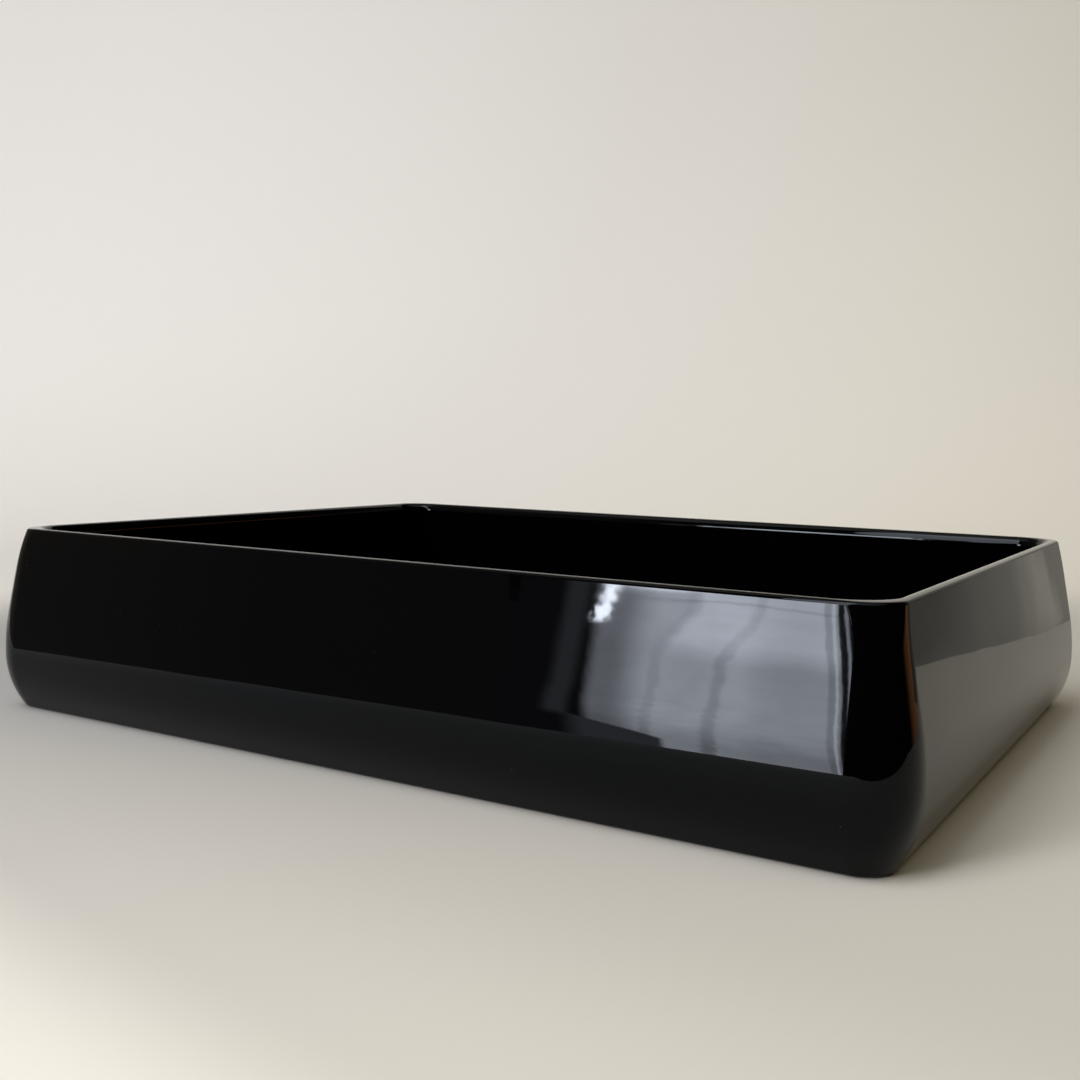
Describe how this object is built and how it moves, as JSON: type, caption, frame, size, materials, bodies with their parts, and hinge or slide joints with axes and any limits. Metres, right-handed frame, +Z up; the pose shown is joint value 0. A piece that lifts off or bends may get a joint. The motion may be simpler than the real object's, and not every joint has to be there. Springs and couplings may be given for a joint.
{
  "type": "lacquer document box",
  "caption": "Open gloss-black lacquer box for papers, with bulging sides, rounded corners and a thin crowned rim, on a flat pegged bottom.",
  "frame": {"origin": "middle of the box on the surface that it stands on", "axes": "+X along the long sides, +Y towards the back, +Z up out of the open top"},
  "size_m": [0.3438, 0.2604, 0.0674],
  "materials": {
    "wall_lacquer": "polished black lacquer over wood",
    "board_lacquer": "black lacquer over wood, a little softer in gloss",
    "bare_wood": "planed softwood, glued in",
    "bamboo": "whittled bamboo"
  },
  "bodies": {
    "root": {"front_wall": "wall_lacquer", "back_wall": "wall_lacquer", "left_wall": "wall_lacquer", "right_wall": "wall_lacquer", "bottom_board": "board_lacquer", "front_left_spline": "bare_wood", "front_right_spline": "bare_wood", "back_left_spline": "bare_wood", "back_right_spline": "bare_wood", "bottom_pegs": "bamboo"}
  },
  "joints": []
}
